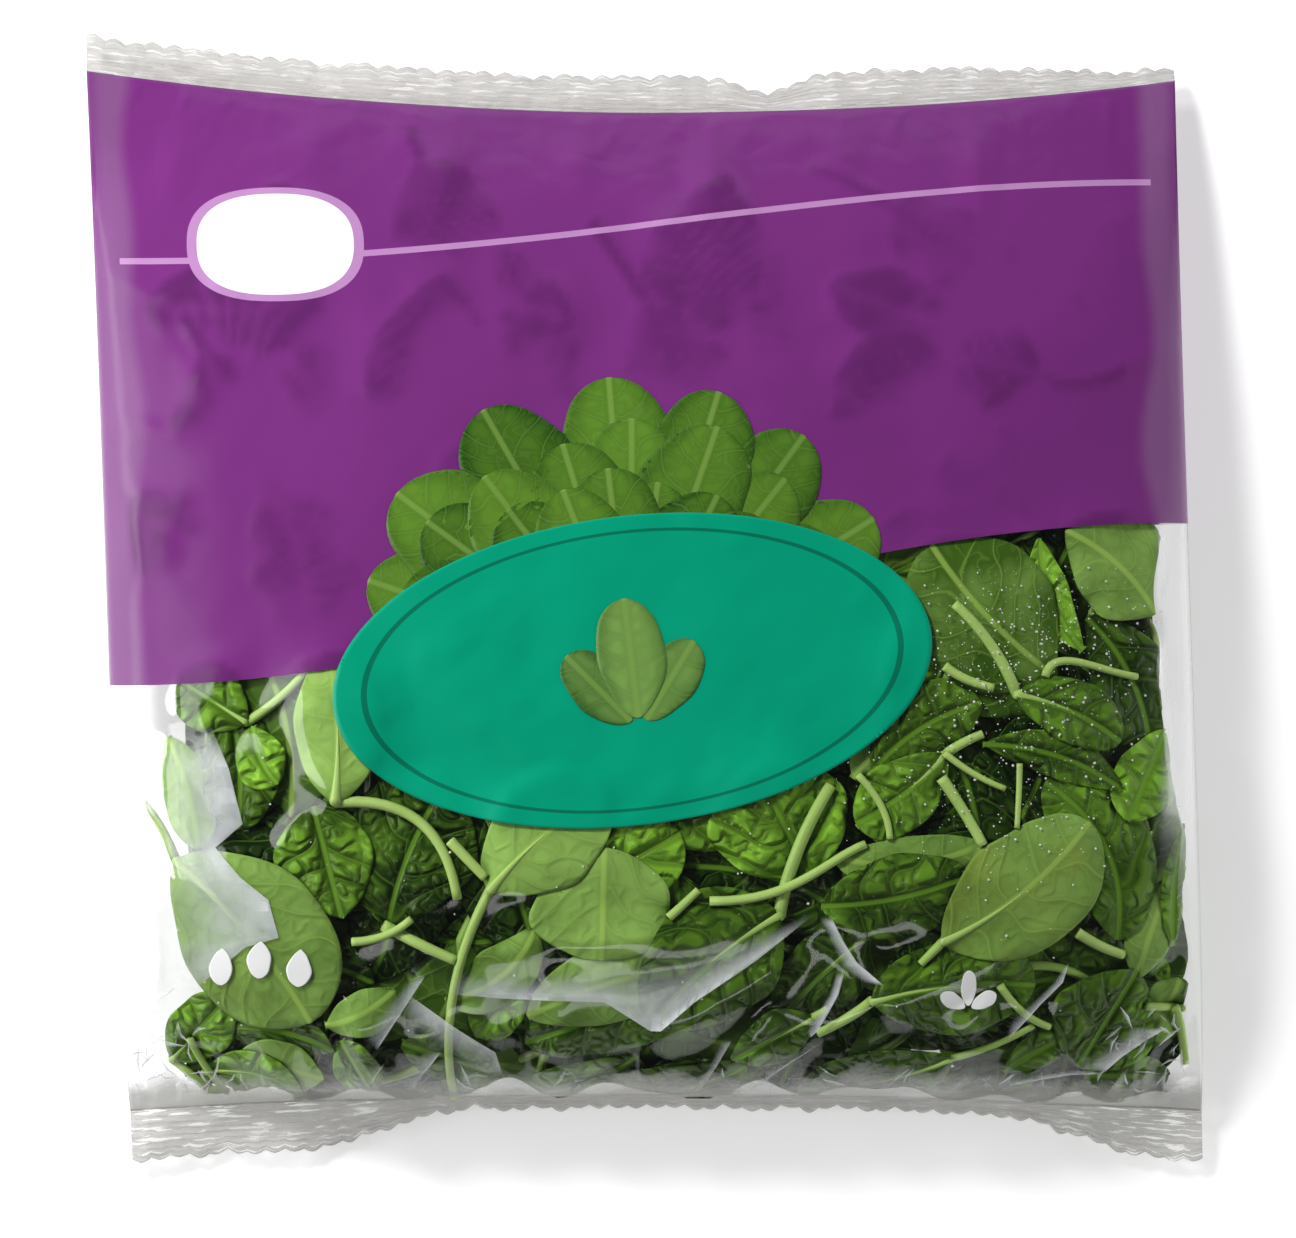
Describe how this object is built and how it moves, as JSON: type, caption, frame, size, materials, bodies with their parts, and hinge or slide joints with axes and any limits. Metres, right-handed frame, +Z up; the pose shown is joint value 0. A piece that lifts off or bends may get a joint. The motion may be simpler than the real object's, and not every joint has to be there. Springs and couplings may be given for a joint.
{
  "type": "bag of spinach",
  "caption": "Sealed pillow bag of baby spinach leaves, with a purple printed top, a clear window below and zigzag-cut seals at both ends, lying on its back.",
  "frame": {"origin": "middle of the bag's outline, on the surface that its back rests on", "axes": "+Y from the bottom seal to the top seal, +X to the right as the front is read, +Z up out of the front"},
  "size_m": [0.2872, 0.2906, 0.0587],
  "materials": {
    "film": "glossy clear film, printed purple on the upper half, with a jade badge and a clear window below",
    "leaf": "waxy green spinach leaves, paler underneath and along the veins",
    "stem": "moist pale green spinach stems",
    "water": "clear drops of rinsing water on the inside of the film"
  },
  "bodies": {
    "root": {"bag": "film"}
  },
  "joints": []
}
